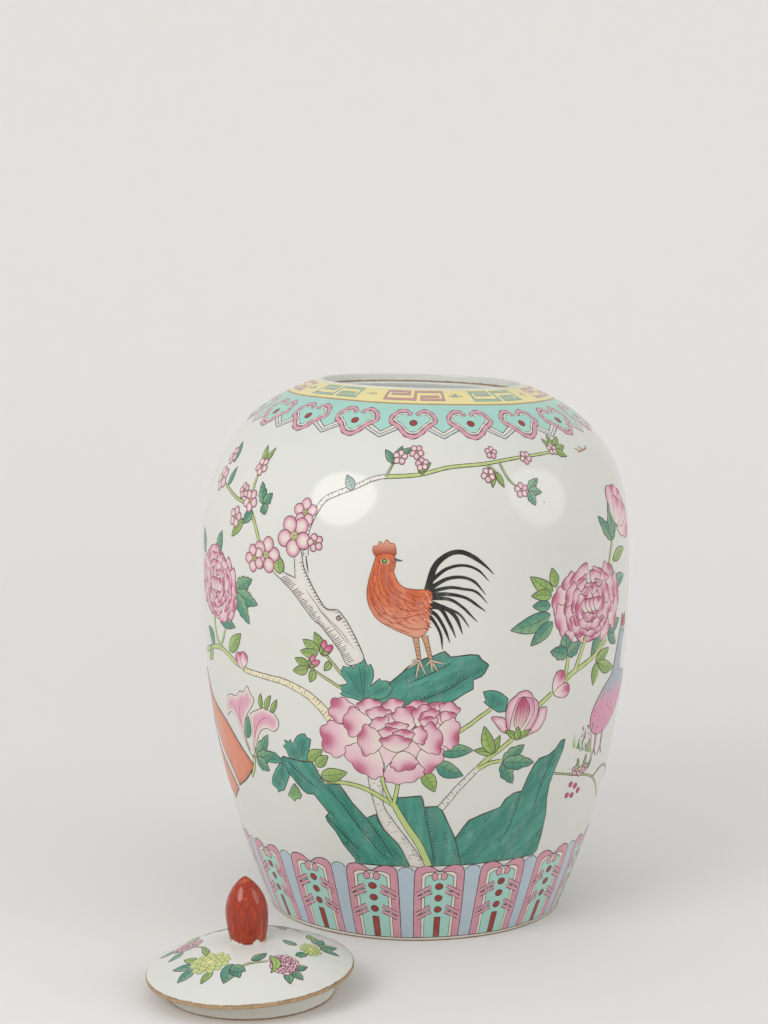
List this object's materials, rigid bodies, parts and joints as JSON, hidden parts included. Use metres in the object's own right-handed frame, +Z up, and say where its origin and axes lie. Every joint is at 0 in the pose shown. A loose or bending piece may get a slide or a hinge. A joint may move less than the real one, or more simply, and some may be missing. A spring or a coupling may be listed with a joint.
{
  "type": "ginger jar",
  "caption": "Round-shouldered painted porcelain ginger jar standing open, with its inset domed lid and bud finial set down beside it.",
  "frame": {"origin": "the middle of the ground that the jar and the lid beside it cover", "axes": "+Z up, the viewer stands on the -Y side, the lid lies towards -X and -Y of the jar"},
  "size_m": [0.2928, 0.3818, 0.3417],
  "materials": {
    "painted_glaze": "glossy pale grey-white glaze with raised enamel painting",
    "glaze": "glossy pale grey-white glaze",
    "bare_porcelain": "unglazed, dry, burnt tan at the edges",
    "iron_red": "brushed iron-red enamel, glossy"
  },
  "bodies": {
    "jar": {"foot_ring": "bare_porcelain", "lower_body": "painted_glaze", "upper_body": "painted_glaze", "mouth_rim": "glaze", "lid_seat": "bare_porcelain"},
    "lid": {"lid_cap": "painted_glaze", "lid_flange": "glaze", "lid_finial": "iron_red"}
  },
  "joints": [
    {"name": "lid_lift", "type": "slide", "parent": "jar", "child": "lid", "axis": [0, 0, 1], "range_m": [0, 0.36]}
  ]
}
